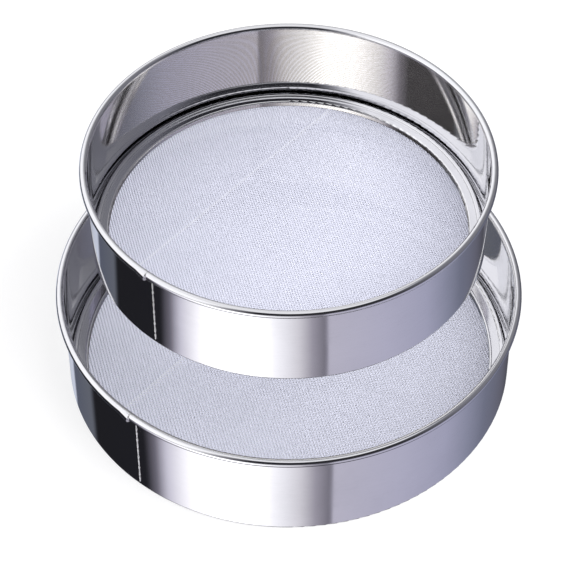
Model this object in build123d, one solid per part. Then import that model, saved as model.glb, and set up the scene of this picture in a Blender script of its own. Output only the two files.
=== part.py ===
from build123d import *
import os
from math import cos, degrees, radians, sin

# Two round sieves of polished stainless steel, the smaller one held straight above the larger one.
# Millimetres, +Z up. The origin is the middle of the face that the larger sieve stands on, -Y is the
# front, and both sieves turn about the Z axis.

# ---- driving dimensions -------------------------------------------------------------------------
SHEET = 0.5                    # wall, curl and flange sheet
RING_SHEET = 0.6               # press ring sheet
CLAMP_SHEET = 0.8              # clamp ring sheet
LIFT = 109.0                   # upper rim above lower rim

# One line per sieve: outer diameter over the rim, height, diameter of the curled rim, bore of the
# rings (the open cloth), wire gauge of the cloth.
SIZES = {
    "lower": dict(rim=300.0, height=70.0, curl=5.2, open_cloth=266.0, wire=0.60),
    "upper": dict(rim=256.0, height=62.0, curl=4.8, open_cloth=226.0, wire=0.50),
}

CORNER = 1.4                   # outer radius of the bottom corner
FLANGE = 5.4                   # bottom flange, from the wall's outer face inwards
CURL_OPEN = 52.0               # degrees of the curl left open under the rim
WIRE_PLAY = 0.03               # rim wire inside its curl

# press ring
RING_GAP = 1.9                 # groove between the press ring and the wall
RING_RISE = 4.4                # shoulder above the cloth
RING_FACE = 2.9                # face above the cloth
FACE_SLOPE = 0.2               # how far the face rises to the lip, and drops to the shoulder
LIP_RISE = 0.5                 # inner lip above the face
LIP_WIDTH = 1.5
SHOULDER = 2.8                 # width of the rolled shoulder
SHOULDER_SLOPE = 0.5           # how far its inner side leans
LIP_BENDS = (0.7, 0.8)         # bend radii of the lip
SHOULDER_BENDS = (0.6, 0.6, 1.1)

CLOTH_IN = 0.3                 # cloth's cut edge inside the press ring's skirt
SPOT_COUNT = 16                # weld nuggets under the clamp ring
SPOT_RADIUS = 1.2
SPOT_HEIGHT = 0.12

# seam down the wall, and the joint of the curl
SEAM_ANGLE = -130.3            # where the weld runs down the wall, measured from +X
NOTCH_ANGLE = SEAM_ANGLE - 0.8 # where the curl's two ends meet
SLIT = 0.3                     # gap between the sheet's ends
LAP_WIDTH = 9.0                # length of wall where the sheet is double
LAP_SET_BACK = 1.0             # degrees from the seam to the lap
LAP_ENDS = 14.0                # wall left single above and below the lap, together
SLEEVE_LENGTH = 7.0            # flared end of the curl
SLEEVE_GAP = 0.05              # how far it stands off the curl
SLEEVE_EDGE = 0.12             # its thickness along its two edges
SLEEVE_FLARE = (0.2, 0.7, 1.3) # its thickness in the middle: far end, halfway, and at the notch
SLEEVE_ANGLES = (75.0, -15.0, -100.0)  # its edges and middle on the curl's section
BEAD_WIDTH = 1.1               # weld bead
BEAD_HEIGHT = 0.35
BEAD_PITCH = 2.1               # spacing of the bead's ripples
BEAD_OVERLAP = 1.6             # height of a ripple, as a share of that spacing
BEAD_WAVE = 0.28               # share of the bead's width that comes and goes
BEAD_STEP = 2.4                # turn of that wave from one ripple to the next, in radians
BEAD_ENDS = 0.6                # slit left bare above and below the bead


def lathe(face):
    """Turn a section drawn in the XZ plane once round the Z axis."""
    return revolve(face, Axis.Z, 360)


def section(*points, thickness):
    """Bend a strip along a cornered path: (x, z, bend radius) for each point."""
    corners = [(x, z) for x, z, _ in points]
    bends = [bend for _, _, bend in points[1:-1]]
    return Plane.XZ * trace(FilletPolyline(*corners, radius=bends), thickness)


def at_angle(shape, angle):
    """Turn a shape made on the +X axis round to its place on the hoop."""
    return Rot(0, 0, angle) * shape


class Sieve:
    """Radii and heights that one sieve's pieces share, worked out from its sizes."""

    def __init__(self, rim, height, curl, open_cloth, wire, base):
        self.base = base
        self.height = height
        self.wire = wire
        self.inner = rim / 2 - curl                    # wall's inner face
        self.outer = self.inner + SHEET                # wall's outer face
        self.curl = curl / 2                           # curled rim's outer radius
        self.curl_r = rim / 2 - self.curl              # curled rim's centre
        self.curl_z = height - self.curl
        self.bore = open_cloth / 2
        self.ring_outer = self.inner - RING_GAP
        self.flange_inner = self.outer - FLANGE
        self.clamp_z = SHEET + SPOT_HEIGHT             # clamp ring's underside
        self.cloth_z = self.clamp_z + CLAMP_SHEET      # cloth's underside
        self.ring_z = self.cloth_z + 2 * wire          # press ring's lower edges
        self.seam_low = 2 * CORNER                     # ends of the slit in the wall
        self.seam_high = self.curl_z - self.curl

    def curl_arc(self, radius, start, size):
        """An arc of the rim's section, centred on the rim wire."""
        return CenterArc((self.curl_r, self.curl_z), radius, start, size)

    def wall(self):
        """Hoop of sheet: flange turned in below, curl rolled outwards above, sheet doubled at the lap."""
        middle = self.inner + SHEET / 2
        band = section(
            (self.flange_inner, SHEET / 2, 0),
            (middle, SHEET / 2, CORNER - SHEET / 2),
            (middle, self.curl_z, 0),
            thickness=SHEET,
        )
        rolled = self.curl_arc(self.curl - SHEET / 2, 180, CURL_OPEN - 360)
        hoop = lathe(band) + lathe(Plane.XZ * trace(rolled, SHEET))

        lap_turn = degrees(LAP_WIDTH / self.inner)
        strip = Rectangle(SHEET, self.height - LAP_ENDS)
        lap = revolve(Plane.XZ * Pos(self.inner - SHEET / 2, self.height / 2) * strip, Axis.Z, lap_turn)
        hoop += at_angle(lap, SEAM_ANGLE - LAP_SET_BACK - lap_turn)

        # the slit at the weld stops below the curl, and the curl's own slit leaves the wall whole
        tall = self.seam_high - self.seam_low
        slit = Pos(self.outer, 0, self.seam_low + tall / 2) * Box(SHEET, SLIT, tall)
        reach = 2 * self.curl
        notch = Pos(self.outer + reach / 2, 0, self.curl_z) * Box(reach, SLIT, 1.25 * reach)
        hoop -= at_angle(slit, SEAM_ANGLE)
        hoop -= at_angle(notch, NOTCH_ANGLE)
        return hoop

    def rim_wire(self):
        """Wire hoop inside the curl, with its ends a little apart at the notch."""
        disc = Circle(self.curl - SHEET - WIRE_PLAY)
        hoop = lathe(Plane.XZ * Pos(self.curl_r, self.curl_z) * disc)
        cut = Pos(self.curl_r, 0, self.curl_z) * Box(2 * self.curl, SLIT, 2 * self.curl)
        return hoop - at_angle(cut, NOTCH_ANGLE)

    def sleeve_section(self, flare):
        """Crescent round the outside of the curl, as thick in its middle as the flare."""
        top, middle, foot = SLEEVE_ANGLES
        seat = self.curl + SLEEVE_GAP

        def spot(off, angle):
            reach = seat + off
            return self.curl_r + reach * cos(radians(angle)), self.curl_z + reach * sin(radians(angle))

        edges = [
            ThreePointArc(spot(0, top), spot(0, middle), spot(0, foot)),
            Line(spot(0, foot), spot(SLEEVE_EDGE, foot)),
            ThreePointArc(spot(SLEEVE_EDGE, foot), spot(flare, middle), spot(SLEEVE_EDGE, top)),
            Line(spot(SLEEVE_EDGE, top), spot(0, top)),
        ]
        return Plane.XZ * make_face(edges)

    def curl_sleeve(self):
        """Flared end of the sheet, lapped over the curl and springing off it at the notch."""
        step = degrees(SLEEVE_LENGTH / self.curl_r) / (len(SLEEVE_FLARE) - 1)
        start = NOTCH_ANGLE - step * (len(SLEEVE_FLARE) - 1)
        return loft([
            at_angle(self.sleeve_section(flare), start + step * place)
            for place, flare in enumerate(SLEEVE_FLARE)
        ])

    def seam_weld(self):
        """Rippled bead down the outside of the lap."""
        low = self.seam_low + BEAD_ENDS
        tall = self.seam_high - BEAD_ENDS - low
        core = Box(BEAD_HEIGHT / 2, BEAD_WIDTH / 2, tall)
        bead = Pos(self.outer + BEAD_HEIGHT / 4, 0, low + tall / 2) * core
        for step in range(int(tall / BEAD_PITCH)):
            width = BEAD_WIDTH * (1 - BEAD_WAVE + BEAD_WAVE * sin(BEAD_STEP * step))
            outside = Pos(width / 2, 0, 0) * Box(width, width, BEAD_PITCH)
            ripple = Cylinder(width / 2, BEAD_OVERLAP * BEAD_PITCH / 2) & outside
            bead += Pos(self.outer, 0, low + (step + 0.5) * BEAD_PITCH) * ripple
        return at_angle(bead, SEAM_ANGLE)

    def press_ring(self):
        """Pressed ring on the cloth: inner lip, crowned face, rolled shoulder, and outer skirt."""
        low = self.ring_z
        face = low + RING_FACE
        top = low + RING_RISE - RING_SHEET / 2
        lip = self.bore + RING_SHEET / 2
        skirt = self.ring_outer - RING_SHEET / 2
        return lathe(section(
            (lip, low, 0),
            (lip, face + LIP_RISE, LIP_BENDS[0]),
            (lip + LIP_WIDTH, face + FACE_SLOPE, LIP_BENDS[1]),
            (skirt - SHOULDER, face - FACE_SLOPE, SHOULDER_BENDS[0]),
            (skirt - SHOULDER + SHOULDER_SLOPE, top, SHOULDER_BENDS[1]),
            (skirt, top, SHOULDER_BENDS[2]),
            (skirt, low, 0),
            thickness=RING_SHEET,
        ))

    def cloth_layer(self, low):
        """One layer of the woven cloth, as a thin disc that fills the wires' space."""
        return Pos(0, 0, low + self.wire / 2) * Cylinder(self.ring_outer - CLOTH_IN, self.wire)

    def mesh_weft(self):
        """Lower half of the cloth's thickness."""
        return self.cloth_layer(self.cloth_z)

    def mesh_warp(self):
        """Upper half of the cloth's thickness."""
        return self.cloth_layer(self.cloth_z + self.wire)

    def clamp_ring(self):
        """Flat ring under the cloth."""
        ring = Circle(self.ring_outer) - Circle(self.bore)
        return Pos(0, 0, self.clamp_z) * extrude(ring, CLAMP_SHEET)

    def spot_welds(self):
        """Flat weld nuggets between the flange and the clamp ring."""
        radius = (self.flange_inner + self.ring_outer) / 2
        nugget = Pos(0, 0, SHEET + SPOT_HEIGHT / 2) * Cylinder(SPOT_RADIUS, SPOT_HEIGHT)
        return Compound(children=[place * nugget for place in PolarLocations(radius, SPOT_COUNT)])

    def pieces(self):
        """Every piece by its name, standing at the sieve's own height."""
        makers = (
            self.wall, self.rim_wire, self.curl_sleeve, self.seam_weld, self.press_ring,
            self.mesh_warp, self.mesh_weft, self.clamp_ring, self.spot_welds,
        )
        for make in makers:
            yield make.__name__, Pos(0, 0, self.base) * make()


os.makedirs("parts", exist_ok=True)
upper_base = SIZES["lower"]["height"] + LIFT - SIZES["upper"]["height"]
for name, base in (("lower", 0.0), ("upper", upper_base)):
    for piece, shape in Sieve(base=base, **SIZES[name]).pieces():
        shape.label = f"{name}_{piece}"
        export_step(shape, f"parts/{shape.label}.step")
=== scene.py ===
from math import cos, pi, radians, sin, sqrt

import bpy
from mathutils import Matrix, Vector


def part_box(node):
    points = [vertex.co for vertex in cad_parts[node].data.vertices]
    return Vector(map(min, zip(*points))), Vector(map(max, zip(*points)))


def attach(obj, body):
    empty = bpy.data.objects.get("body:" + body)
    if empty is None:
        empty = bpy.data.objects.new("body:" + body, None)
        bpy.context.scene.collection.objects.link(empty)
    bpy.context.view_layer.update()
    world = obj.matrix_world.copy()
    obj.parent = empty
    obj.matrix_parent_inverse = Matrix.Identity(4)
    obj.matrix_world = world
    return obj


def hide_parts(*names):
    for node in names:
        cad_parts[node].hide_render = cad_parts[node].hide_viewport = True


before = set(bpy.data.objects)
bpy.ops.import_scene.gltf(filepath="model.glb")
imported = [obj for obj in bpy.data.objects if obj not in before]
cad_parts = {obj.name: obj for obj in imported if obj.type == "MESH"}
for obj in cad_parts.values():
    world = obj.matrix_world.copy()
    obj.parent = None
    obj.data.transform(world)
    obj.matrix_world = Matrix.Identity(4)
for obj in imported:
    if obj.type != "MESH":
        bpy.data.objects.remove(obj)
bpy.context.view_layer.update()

# Two polished round sieves, the smaller one held straight above the larger one. Metres; the larger
# sieve stands on z = 0, and -Y is the front.

MM = 0.001
SIEVES = ("lower", "upper")

# ---- woven cloth --------------------------------------------------------------------------------
WEAVE_TURN = radians(14)                       # how far the weave is turned from the front
PITCH = {"lower": 1.94 * MM, "upper": 1.60 * MM}
WIRE_SHARE = {"warp": 0.62, "weft": 0.90}      # wire's width as a share of the pitch: a close weave
WAVINESS = {"warp": 0.50, "weft": 0.75}        # how deeply the wires bend, 1 being full
STAND_UP = {"warp": 0.50, "weft": -0.50}       # the straighter warp lies a little higher than the weft
CREASE_TURN = radians(50)                      # a faint crease across the cloth, left by folding
CREASE_OFFSET = 50 * MM                        # how far it runs from the middle
CREASE_WIDTH = 2.4 * MM
CREASE_HEIGHT = 0.55 * MM
CREASE_PAINTED_HIGHLIGHT = (0.875, 0.89, 1.0, 1)            # painted highlight: a paler colour painted along the crease for the light it catches
CLOTH_CLEAR = 0.91                             # how much of a wire the polished walls see past
CLOTH_SHADED_COPY_FOR_MIRRORS = (0.34, 0.32, 0.32, 1)       # painted shade: a darker, shaded copy of the wire's colour that only the polished walls mirror
CLOTH_TINT = (0.96, 0.95, 0.92, 1)             # tint of what they see past it
SAG = 0.45 * MM                                # how far the cloth's middle hangs below its rim


def replace_node(piece, node, body):
    """Put a finished piece where its CAD node is."""
    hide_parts(node)
    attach(piece, body)
    return piece


def mesh_from_curve(name, curve):
    """Make a curve's tubes a plain smooth mesh object."""
    holder = bpy.data.objects.new(name + "_path", curve)
    bpy.context.scene.collection.objects.link(holder)
    bpy.context.view_layer.update()
    solid = holder.evaluated_get(bpy.context.evaluated_depsgraph_get())
    mesh = bpy.data.meshes.new_from_object(solid)
    bpy.data.objects.remove(holder)
    bpy.data.curves.remove(curve)
    for face in mesh.polygons:
        face.use_smooth = True
    piece = bpy.data.objects.new(name, mesh)
    bpy.context.scene.collection.objects.link(piece)
    return piece


def cloth_height(x, y, radius):
    """How far the cloth lies off its flat: a slight sag, and the soft ridge of the crease."""
    sag = -SAG * (1 - (x * x + y * y) / radius**2)
    across = -x * sin(CREASE_TURN) + y * cos(CREASE_TURN) - CREASE_OFFSET
    ridge = max(0.0, 1 - abs(across) / CREASE_WIDTH)
    return sag + CREASE_HEIGHT * ridge


def woven_wires(name, direction, low, high, pitch, turn, over):
    """One direction of a plain weave. A wire's middle passes above and below the wires that cross it.

    The weave is so close that the wires cut into each other where the weft passes over the warp.
    """
    radius = (high.x - low.x) / 2
    middle = (high.z + low.z) / 2
    wire = WIRE_SHARE[direction] * pitch / 2
    thick = sum(WIRE_SHARE.values()) * pitch
    pressed = (high.z - low.z) / thick         # rolling has pressed the cloth to its thickness
    step_up = thick / 4
    bend = WAVINESS[direction] * step_up
    stand = STAND_UP[direction] * step_up
    count = int(radius / pitch)
    curve = bpy.data.curves.new(name, "CURVE")
    curve.dimensions = "3D"
    curve.bevel_depth = wire
    curve.bevel_resolution = 0
    curve.use_fill_caps = True
    for row in range(-count, count):
        offset = (row + 0.5) * pitch
        half = sqrt(radius**2 - offset**2)
        ends = int(half / pitch + 0.5)
        if ends < 1:
            continue
        places = [(-half, -ends - 1)]
        places += [((step + 0.5) * pitch, step) for step in range(-ends, ends)]
        places += [(half, ends)]
        spline = curve.splines.new("POLY")
        spline.points.add(len(places) - 1)
        for point, (along, step) in zip(spline.points, places):
            x = along * cos(turn) - offset * sin(turn)
            y = along * sin(turn) + offset * cos(turn)
            side = 1 if (row + step + over) % 2 else -1
            z = side * bend + stand + cloth_height(x, y, radius) / pressed
            point.co = (x, y, z, 1)
    piece = mesh_from_curve(name, curve)
    piece.data.transform(Matrix.Translation((0, 0, middle)) @ Matrix.Diagonal((1, 1, pressed, 1)))
    return piece


def make_cloth(sieve):
    """Warp and weft wires in the place of the two cloth discs."""
    low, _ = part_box(f"{sieve}_mesh_weft")
    _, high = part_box(f"{sieve}_mesh_warp")
    body = f"{sieve}_sieve"
    for direction, turn, over in (("warp", WEAVE_TURN + pi / 2, 0), ("weft", WEAVE_TURN, 1)):
        piece = woven_wires(
            f"{sieve}_{direction}_wires", direction, low, high, PITCH[sieve], turn, over
        )
        piece.data.materials.append(materials["wire_cloth"])
        piece.visible_glossy = direction == "warp"
        replace_node(piece, f"{sieve}_mesh_{direction}", body)


# ---- materials ----------------------------------------------------------------------------------
# Steel's finish. Scales are in features per metre, and ranges are of the noise's value.
LINE_STRETCH = 0.004                           # turning lines hardly change on their way round
LINE_RANGE = (0.3, 0.7)
LINE_SHARE = 0.35                              # how much of the dullness comes from the lines
HAZE_SCALE = 22.0                              # soft patches left by handling
HAZE_RANGE = (0.42, 0.72)
HAZE_SHARE = 0.6
SPECK_SCALE = 900.0                            # small dull specks
SPECK_RANGE = (0.70, 0.80)
SPECK_SHARE = 0.5
WAVE_SCALE = 34.0                              # slight waves of thin sheet
RELIEF_DEPTH = 0.4 * MM

COLOUR_MIX_INPUTS = (0, 6, 7)                  # factor, first colour and second colour of a Mix node
COLOUR_MIX_OUTPUT = 2


class Nodes:
    """Short calls for building a node tree."""

    def __init__(self, tree):
        self.tree = tree
        self.x = 0

    def add(self, kind, inputs=None, **settings):
        node = self.tree.nodes.new(kind)
        self.x += 180
        node.location = (self.x, 0)
        for name, value in settings.items():
            setattr(node, name, value)
        for name, value in (inputs or {}).items():
            self.feed(node.inputs[name], value)
        return node

    def feed(self, socket, value):
        if isinstance(value, bpy.types.NodeSocket):
            self.tree.links.new(value, socket)
        else:
            socket.default_value = value

    def maths(self, operation, *values):
        node = self.add("ShaderNodeMath", operation=operation)
        for socket, value in zip(node.inputs, values):
            self.feed(socket, value)
        return node.outputs[0]

    def span(self, value, low, high, to_low, to_high, smooth=False):
        """Carry a value from one range to another."""
        node = self.add("ShaderNodeMapRange", {
            "Value": value, "From Min": low, "From Max": high, "To Min": to_low, "To Max": to_high,
        })
        node.interpolation_type = "SMOOTHSTEP" if smooth else "LINEAR"
        return node.outputs["Result"]

    def mix(self, factor, first, second):
        node = self.add("ShaderNodeMix", data_type="RGBA")
        for socket, value in zip(COLOUR_MIX_INPUTS, (factor, first, second)):
            self.feed(node.inputs[socket], value)
        return node.outputs[COLOUR_MIX_OUTPUT]

    def noise(self, vector, scale, detail=3.0, roughness=0.5):
        return self.add("ShaderNodeTexNoise", {
            "Vector": vector, "Scale": scale, "Detail": detail, "Roughness": roughness,
        }).outputs["Fac"]


def new_group(name, inputs, outputs):
    """An empty shader node group with named inputs and outputs."""
    group = bpy.data.node_groups.new(name, "ShaderNodeTree")
    for label, kind, value in inputs:
        socket = group.interface.new_socket(name=label, in_out="INPUT", socket_type=kind)
        socket.default_value = value
    for label, kind in outputs:
        group.interface.new_socket(name=label, in_out="OUTPUT", socket_type=kind)
    return group


def round_coordinates(nodes):
    """Object position, and with it the angle round the axis, the distance from it, and the height."""
    place = nodes.add("ShaderNodeTexCoord").outputs["Object"]
    parts = nodes.add("ShaderNodeSeparateXYZ", {"Vector": place}).outputs
    angle = nodes.maths("ARCTAN2", parts["Y"], parts["X"])
    flat = nodes.add("ShaderNodeCombineXYZ", {"X": parts["X"], "Y": parts["Y"]}).outputs[0]
    radius = nodes.add("ShaderNodeVectorMath", {0: flat}, operation="LENGTH").outputs["Value"]
    return place, angle, radius, parts["Z"]


def make_finish_group():
    """Steel finish shared by every material: turning lines, handling haze, specks and slight waves."""
    group = new_group(
        "steel_finish",
        [
            ("Bright", "NodeSocketColor", (0.8, 0.8, 0.82, 1)),
            ("Dull", "NodeSocketColor", (0.7, 0.7, 0.72, 1)),
            ("Smooth", "NodeSocketFloat", 0.05),
            ("Hazy", "NodeSocketFloat", 0.12),
            ("Line Scale", "NodeSocketFloat", 3000.0),
            ("Line Depth", "NodeSocketFloat", 0.3),
            ("Wave Depth", "NodeSocketFloat", 1.0),
        ],
        [
            ("Color", "NodeSocketColor"),
            ("Roughness", "NodeSocketFloat"),
            ("Height", "NodeSocketFloat"),
        ],
    )
    nodes = Nodes(group)
    given = nodes.add("NodeGroupInput").outputs
    place, angle, radius, height = round_coordinates(nodes)

    # turning lines run round the hoop, so they change quickly with height and distance only
    line_place = nodes.add("ShaderNodeCombineXYZ", {
        "X": nodes.maths("MULTIPLY", angle, LINE_STRETCH), "Y": radius, "Z": height,
    }).outputs[0]
    line = nodes.noise(line_place, given["Line Scale"], 2.0, 0.6)

    haze = nodes.noise(place, HAZE_SCALE, 4.0, 0.6)
    haze = nodes.span(haze, *HAZE_RANGE, 0.0, HAZE_SHARE, True)
    speck = nodes.noise(place, SPECK_SCALE, 1.0)
    speck = nodes.span(speck, *SPECK_RANGE, 0.0, SPECK_SHARE, True)
    dull = nodes.maths("ADD", haze, speck)
    dull = nodes.maths("ADD", dull, nodes.span(line, *LINE_RANGE, 0.0, LINE_SHARE))

    wave = nodes.noise(place, WAVE_SCALE, 1.0, 0.4)
    depth = nodes.maths("MULTIPLY", line, given["Line Depth"])
    depth = nodes.maths("ADD", depth, nodes.maths("MULTIPLY", wave, given["Wave Depth"]))

    output = nodes.add("NodeGroupOutput")
    nodes.feed(output.inputs["Color"], nodes.mix(dull, given["Bright"], given["Dull"]))
    nodes.feed(output.inputs["Roughness"], nodes.span(
        dull, 0.0, 1.0, given["Smooth"], given["Hazy"]
    ))
    nodes.feed(output.inputs["Height"], depth)
    return group


def steel(
    name, bright, dull, smooth, hazy, line_scale, line_depth, wave_depth, bump=0.05, metallic=1.0
):
    """A bare steel material with its own polish."""
    material = bpy.data.materials.new(name)
    material.use_nodes = True
    nodes = Nodes(material.node_tree)
    shader = material.node_tree.nodes["Principled BSDF"]
    finish = nodes.add("ShaderNodeGroup", node_tree=finish_group)
    for label, value in (
        ("Bright", bright), ("Dull", dull), ("Smooth", smooth), ("Hazy", hazy),
        ("Line Scale", line_scale), ("Line Depth", line_depth), ("Wave Depth", wave_depth),
    ):
        finish.inputs[label].default_value = value
    relief = nodes.add("ShaderNodeBump", {
        "Height": finish.outputs["Height"], "Strength": bump, "Distance": RELIEF_DEPTH,
    })
    shader.inputs["Metallic"].default_value = metallic
    nodes.feed(shader.inputs["Base Color"], finish.outputs["Color"])
    nodes.feed(shader.inputs["Roughness"], finish.outputs["Roughness"])
    nodes.feed(shader.inputs["Normal"], relief.outputs["Normal"])
    return material


def paint_crease_highlight(material):
    """Paints a highlight into the cloth's colour: a thin pale line along the crease for the light it
    catches.
    """
    nodes = Nodes(material.node_tree)
    base = material.node_tree.nodes["Principled BSDF"].inputs["Base Color"]
    plain = base.links[0].from_socket
    place = nodes.add("ShaderNodeTexCoord").outputs["Object"]
    parts = nodes.add("ShaderNodeSeparateXYZ", {"Vector": place}).outputs
    along_y = nodes.maths("MULTIPLY", parts["Y"], cos(CREASE_TURN))
    along_x = nodes.maths("MULTIPLY", parts["X"], sin(CREASE_TURN))
    across = nodes.maths("SUBTRACT", nodes.maths("SUBTRACT", along_y, along_x), CREASE_OFFSET)
    # painted highlight: mask of the pale line along the crease
    line = nodes.span(nodes.maths("ABSOLUTE", across), 0.0, CREASE_WIDTH / 2, 1.0, 0.0, True)
    nodes.feed(base, nodes.mix(line, plain, CREASE_PAINTED_HIGHLIGHT))


def let_light_past(material, share):
    """Only the camera sees the wires in full.

    Light and shadow pass through them, and the polished walls see a faint trace of the warp, painted
    in a darker, shaded copy of its colour, with the cards beyond it.
    """
    nodes = Nodes(material.node_tree)
    shader = material.node_tree.nodes["Principled BSDF"].outputs["BSDF"]
    # painted shade: the warp as the mirrors see it, in a darker copy of its colour
    shade = nodes.add("ShaderNodeBsdfDiffuse", {"Color": CLOTH_SHADED_COPY_FOR_MIRRORS}).outputs["BSDF"]
    clear = nodes.add("ShaderNodeBsdfTransparent").outputs["BSDF"]
    warm = nodes.add("ShaderNodeBsdfTransparent", {"Color": CLOTH_TINT}).outputs["BSDF"]
    faint = nodes.add("ShaderNodeMixShader", {0: share, 1: shade, 2: warm}).outputs["Shader"]
    path = nodes.add("ShaderNodeLightPath").outputs
    past = nodes.add("ShaderNodeMixShader", {0: path["Is Glossy Ray"], 1: clear, 2: faint})
    both = nodes.add("ShaderNodeMixShader", {
        0: path["Is Camera Ray"], 1: past.outputs["Shader"], 2: shader,
    })
    nodes.feed(material.node_tree.nodes["Material Output"].inputs["Surface"], both.outputs["Shader"])


def grey(level, blue=1.03):
    return (level, level, level * blue, 1)


# ---- studio -------------------------------------------------------------------------------------
CAMERA_RISE = radians(47.06)
CAMERA_REACH = 1.5
CAMERA_LENS = 145.3
SENSOR_WIDTH = 36
VIEW_END = 30
AIM = Vector((-0.0005, 0.0, 0.0637))
RIM_MIDDLE = Vector((0.0, 0.0, 0.0674))

# What the polished walls mirror, going round from the right (0 degrees) through the back (90) and
# the left (180) to the front (270): cards and flags below eye level, then those above it.
LOW_CARDS = [
    (0, (0.40, 0.40, 0.53)), (18, (0.28, 0.29, 0.39)), (34, (0.18, 0.19, 0.26)),
    (58, (0.13, 0.13, 0.17)), (72, (0.08, 0.08, 0.10)), (80, (0.16, 0.16, 0.19)),
    (106, (0.55, 0.58, 0.68)), (117, (0.60, 0.64, 0.76)), (121, (0.10, 0.11, 0.15)),
    (143, (0.13, 0.14, 0.17)), (148, (0.015, 0.015, 0.018)), (189, (0.016, 0.016, 0.020)),
    (196, (0.18, 0.17, 0.21)), (203, (0.68, 0.66, 0.76)), (214, (1.15, 1.13, 1.18)),
    (230, (1.75, 1.74, 1.78)), (248, (1.75, 1.74, 1.78)), (262, (1.15, 1.14, 1.18)),
    (268, (0.98, 0.97, 1.02)), (276, (0.75, 0.73, 0.78)),
    (284, (0.38, 0.36, 0.42)), (292, (0.19, 0.18, 0.22)), (294, (0.55, 0.53, 0.63)),
    (330, (0.49, 0.48, 0.61)),
]
HIGH_CARDS = [
    (0, (0.20, 0.20, 0.23)), (57, (0.24, 0.24, 0.26)), (75, (0.50, 0.50, 0.52)),
    (90, (0.82, 0.82, 0.84)), (105, (1.10, 1.10, 1.12)), (225, (1.20, 1.20, 1.22)),
    (240, (0.30, 0.30, 0.32)), (252, (0.03, 0.03, 0.035)), (322, (0.03, 0.03, 0.035)),
    (345, (0.14, 0.14, 0.16)),
]
BRIGHT_MIDDLE = 250
WIDE_LOOK = (-0.751, -0.669, 1.14)             # two heights of look, and how much wider at the second
EYE_LEVEL = (-0.02, 0.16)                      # heights of look where low cards give way to high ones
OVERHEAD = (0.95, 0.95, 0.97, 1)
OVERHEAD_FROM = (0.86, 0.95)
UNDERNEATH = (0.05, 0.05, 0.06, 1)             # dark gap between the object's foot and the cards
UNDERNEATH_FROM = (-0.83, -0.92)
HORIZON = (-0.02, 0.05)                        # height and half depth of the dark gap at eye level
HORIZON_SHADE = (0.06, 0.06, 0.07, 1)
BACKGROUND = (0.93, 0.93, 0.94, 1)
LAMP_SIZE = 2.2
LAMP_POWER = 63.0
LAMP_PLACE = Vector((1.15, -0.75, 2.1))
FLOOR_SIZE = 14
FLOOR_COLOUR = (0.42, 0.42, 0.42, 1)
FLOOR_GLOW = 0.62                              # keeps the floor pale and its shadow faint
FLOOR_ROUGHNESS = 0.8


def card_ramp(nodes, turn, cards):
    """A ring of cards as a colour ramp over one turn."""
    ramp = nodes.add("ShaderNodeValToRGB", {"Fac": turn})
    stops = ramp.color_ramp.elements
    first = cards[0][1]
    while len(stops) > 1:
        stops.remove(stops[-1])
    stops[0].position = 0.0
    stops[0].color = (*first, 1)
    for angle, colour in cards[1:] + [(360, first)]:
        stop = stops.new(angle / 360)
        stop.color = (*colour, 1)
    return ramp.outputs["Color"]


def make_studio_light():
    """Soft cards all round for the mirror finish, and one large soft lamp high at the front right."""
    world = bpy.data.worlds.new("studio")
    bpy.context.scene.world = world
    world.use_nodes = True
    nodes = Nodes(world.node_tree)
    shader = world.node_tree.nodes["Background"]
    way = nodes.add("ShaderNodeTexCoord").outputs["Generated"]
    parts = nodes.add("ShaderNodeSeparateXYZ", {"Vector": way}).outputs
    turn = nodes.maths("ARCTAN2", parts["Y"], parts["X"])
    turn = nodes.maths("FRACT", nodes.maths("DIVIDE", turn, 2 * pi))
    # the cards look wider from higher up, about the middle of the bright one
    spread = nodes.span(parts["Z"], WIDE_LOOK[0], WIDE_LOOK[1], 1.0, WIDE_LOOK[2])
    aside = nodes.maths("FRACT", nodes.maths("ADD", turn, 0.5 - BRIGHT_MIDDLE / 360))
    aside = nodes.maths("MULTIPLY", nodes.maths("SUBTRACT", aside, 0.5), spread)
    low_turn = nodes.maths("FRACT", nodes.maths("ADD", aside, 1 + BRIGHT_MIDDLE / 360))
    low = card_ramp(nodes, low_turn, LOW_CARDS)
    high = card_ramp(nodes, turn, HIGH_CARDS)
    cards = nodes.mix(nodes.span(parts["Z"], *EYE_LEVEL, 0.0, 1.0, True), low, high)
    cards = nodes.mix(nodes.span(parts["Z"], *OVERHEAD_FROM, 0.0, 1.0, True), cards, OVERHEAD)
    cards = nodes.mix(nodes.span(parts["Z"], *UNDERNEATH_FROM, 0.0, 1.0, True), cards, UNDERNEATH)
    off_level = nodes.maths("ABSOLUTE", nodes.maths("SUBTRACT", parts["Z"], HORIZON[0]))
    edge = nodes.span(off_level, HORIZON[1], 2 * HORIZON[1], 1.0, 0.0, True)
    cards = nodes.mix(edge, cards, HORIZON_SHADE)
    seen = nodes.add("ShaderNodeLightPath").outputs["Is Camera Ray"]
    nodes.feed(shader.inputs["Color"], nodes.mix(seen, cards, BACKGROUND))

    lamp = bpy.data.lights.new("overhead_softbox", "AREA")
    lamp.shape = "DISK"
    lamp.size = LAMP_SIZE
    lamp.energy = LAMP_POWER
    holder = bpy.data.objects.new("overhead_softbox", lamp)
    aim = (RIM_MIDDLE - LAMP_PLACE).to_track_quat("-Z", "Y")
    holder.matrix_world = Matrix.Translation(LAMP_PLACE) @ aim.to_matrix().to_4x4()
    holder.visible_glossy = False
    bpy.context.scene.collection.objects.link(holder)


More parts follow.
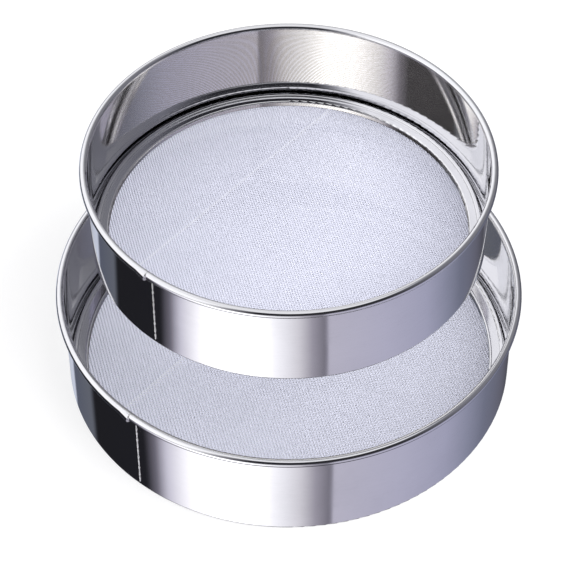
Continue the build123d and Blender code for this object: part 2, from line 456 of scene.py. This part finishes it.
def make_floor():
    """Plain pale floor. The mirror finish sees the cards and not the floor."""
    bpy.ops.mesh.primitive_plane_add(size=FLOOR_SIZE)
    floor = bpy.context.object
    floor.name = "floor"
    floor.visible_glossy = False
    material = bpy.data.materials.new("pale_floor")
    material.use_nodes = True
    shader = material.node_tree.nodes["Principled BSDF"]
    shader.inputs["Base Color"].default_value = FLOOR_COLOUR
    shader.inputs["Roughness"].default_value = FLOOR_ROUGHNESS
    shader.inputs["Emission Color"].default_value = (1, 1, 1, 1)
    shader.inputs["Emission Strength"].default_value = FLOOR_GLOW
    shader.inputs["Specular IOR Level"].default_value = 0.0
    floor.data.materials.append(material)


def make_camera():
    camera = bpy.data.cameras.new("camera")
    camera.lens = CAMERA_LENS
    camera.sensor_width = SENSOR_WIDTH
    camera.clip_end = VIEW_END
    holder = bpy.data.objects.new("camera", camera)
    place = RIM_MIDDLE + CAMERA_REACH * Vector((0, -cos(CAMERA_RISE), sin(CAMERA_RISE)))
    turn = (AIM - place).to_track_quat("-Z", "Y")
    holder.matrix_world = Matrix.Translation(place) @ turn.to_matrix().to_4x4()
    bpy.context.scene.collection.objects.link(holder)
    bpy.context.scene.camera = holder


make_camera()
finish_group = make_finish_group()
materials = {
    "polished_sheet": steel("polished_sheet", grey(0.84), grey(0.78), 0.03, 0.10, 2600, 0.10, 0.9),
    "polished_ring": steel("polished_ring", grey(0.84), grey(0.76), 0.05, 0.14, 3200, 0.20, 0.5),
    "wire_cloth": steel(
        "wire_cloth", (0.81, 0.825, 0.965, 1), (0.77, 0.785, 0.92, 1), 0.52, 0.62, 1500, 0.1, 0.0,
        bump=0.01, metallic=0.1,
    ),
    "rim_wire": steel("rim_wire", grey(0.66), grey(0.55), 0.25, 0.40, 2200, 0.5, 0.4),
    "satin_ring": steel("satin_ring", grey(0.72), grey(0.62), 0.24, 0.38, 4200, 0.6, 0.3),
    "weld_bead": steel("weld_bead", grey(0.86, 1.0), grey(0.62, 0.95), 0.18, 0.42, 1800, 0.8, 2.0),
}
paint_crease_highlight(materials["wire_cloth"])
let_light_past(materials["wire_cloth"], CLOTH_CLEAR)
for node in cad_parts.values():
    for place in node.material_slots:
        place.material = materials[place.material.name.split(".")[0]]
for sieve in SIEVES:
    make_cloth(sieve)
make_studio_light()
make_floor()
bpy.context.scene.view_settings.view_transform = "Standard"
